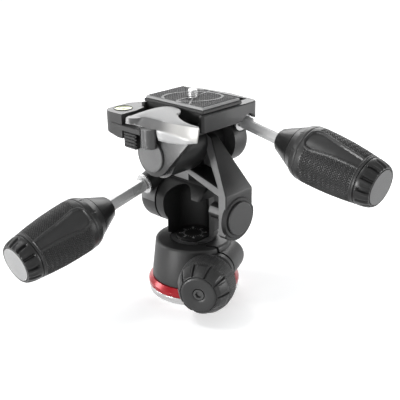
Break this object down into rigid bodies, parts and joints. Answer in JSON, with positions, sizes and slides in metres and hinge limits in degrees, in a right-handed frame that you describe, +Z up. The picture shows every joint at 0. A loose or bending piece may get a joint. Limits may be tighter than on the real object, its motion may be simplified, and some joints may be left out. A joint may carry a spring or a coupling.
{
  "type": "three way pan tilt tripod head",
  "caption": "Three way pan and tilt tripod head with sliding handle grips, a pan lock knob, a bubble level and a quick release camera plate.",
  "frame": {"origin": "centre of the base's underside, on the pan axis, where the tripod's screw enters", "axes": "+Z up along the pan axis; the front tilt turns about X and the lateral tilt about Y; the front tilt's handle points to -Y and the lateral tilt's to +X"},
  "size_m": [0.1657, 0.1624, 0.1335],
  "materials": {
    "black_metal": "satin black",
    "red_metal": "red anodised",
    "silver_metal": "polished",
    "bright_aluminium": "satin",
    "dark_chrome": "dark polished",
    "black_plastic": "matte",
    "grip_rubber": "diamond knurled",
    "pad_rubber": "ribbed",
    "grey_plastic": "satin",
    "vial_green": "clear yellow green"
  },
  "bodies": {
    "base": {"base_disc": "silver_metal", "thread_bush": "silver_metal", "red_ring": "red_metal", "drum": "black_metal", "pan_spindle": "silver_metal", "pan_dial": "black_plastic"},
    "pan_knob": {"pan_knob": "black_plastic", "pan_knob_disc": "grey_plastic", "pan_lock_screw": "dark_chrome", "pan_knob_collar": "dark_chrome"},
    "turret": {"turret": "black_metal"},
    "tilt_bracket": {"tilt_bracket": "black_metal", "tilt_pin_left": "silver_metal", "tilt_pin_right": "silver_metal", "tilt_cap": "black_plastic"},
    "tilt_handle": {"tilt_handle_washer": "silver_metal", "tilt_handle_rod": "silver_metal"},
    "tilt_grip": {"tilt_handle_nose": "black_plastic", "tilt_handle_core": "black_plastic", "tilt_handle_grip": "grip_rubber", "tilt_handle_end": "black_plastic", "tilt_handle_end_disc": "grey_plastic"},
    "roll_bracket": {"roll_bracket": "black_metal", "roll_pin": "silver_metal", "roll_cap": "black_plastic", "adapter": "black_metal", "lever_pin": "dark_chrome", "level_vial": "vial_green"},
    "roll_handle": {"roll_handle_washer": "silver_metal", "roll_handle_rod": "silver_metal"},
    "roll_grip": {"roll_handle_nose": "black_plastic", "roll_handle_core": "black_plastic", "roll_handle_grip": "grip_rubber", "roll_handle_end": "black_plastic", "roll_handle_end_disc": "grey_plastic"},
    "clamp_lever": {"clamp_lever": "bright_aluminium"},
    "safety_catch": {"safety_catch": "black_plastic"},
    "quick_plate": {"quick_plate": "black_metal", "plate_pad": "pad_rubber"},
    "camera_screw": {"camera_screw": "silver_metal"}
  },
  "joints": [
    {"name": "pan_turn", "type": "hinge", "parent": "base", "child": "turret", "pos_m": [0, 0, 0.04], "axis": [0, 0, 1], "continuous": true},
    {"name": "pan_lock", "type": "hinge", "parent": "base", "child": "pan_knob", "pos_m": [0.01979, 0.0089, 0.022], "axis": [0.41, -0.9121, 0], "range_deg": [-90, 180]},
    {"name": "front_tilt", "type": "hinge", "parent": "turret", "child": "tilt_bracket", "pos_m": [0, 0.002, 0.0585], "axis": [1, 0, 0], "range_deg": [-90, 30]},
    {"name": "tilt_lock", "type": "hinge", "parent": "tilt_bracket", "child": "tilt_handle", "pos_m": [-0.0263, -0.018, 0.0701], "axis": [0, -0.9781, -0.2079], "range_deg": [-90, 180]},
    {"name": "tilt_grip_slide", "type": "slide", "parent": "tilt_handle", "child": "tilt_grip", "axis": [0, 0.9781, 0.2079], "range_m": [0, 0.02]},
    {"name": "lateral_tilt", "type": "hinge", "parent": "tilt_bracket", "child": "roll_bracket", "pos_m": [0, 0, 0.0992], "axis": [0, 1, 0], "range_deg": [-50, 30]},
    {"name": "roll_lock", "type": "hinge", "parent": "roll_bracket", "child": "roll_handle", "pos_m": [0.0203, 0.0255, 0.1117], "axis": [0.9823, 0, -0.1874], "range_deg": [-90, 180]},
    {"name": "roll_grip_slide", "type": "slide", "parent": "roll_handle", "child": "roll_grip", "axis": [-0.9823, 0, 0.1874], "range_m": [0, 0.02]},
    {"name": "lever_swing", "type": "hinge", "parent": "roll_bracket", "child": "clamp_lever", "pos_m": [-0.001, -0.0332, 0.117], "axis": [0, 0, -1], "range_deg": [0, 60]},
    {"name": "catch_swing", "type": "hinge", "parent": "roll_bracket", "child": "safety_catch", "pos_m": [0, -0.0404, 0.1131], "axis": [-1, 0, 0], "range_deg": [0, 20], "stiffness_Nm_per_rad": 0.02},
    {"name": "plate_lift", "type": "slide", "parent": "roll_bracket", "child": "quick_plate", "axis": [0, 0, 1], "range_m": [0, 0.02]},
    {"name": "camera_screw_turn", "type": "hinge", "parent": "quick_plate", "child": "camera_screw", "pos_m": [0.001, 0.0006, 0.128], "axis": [0, 0, 1], "continuous": true}
  ]
}
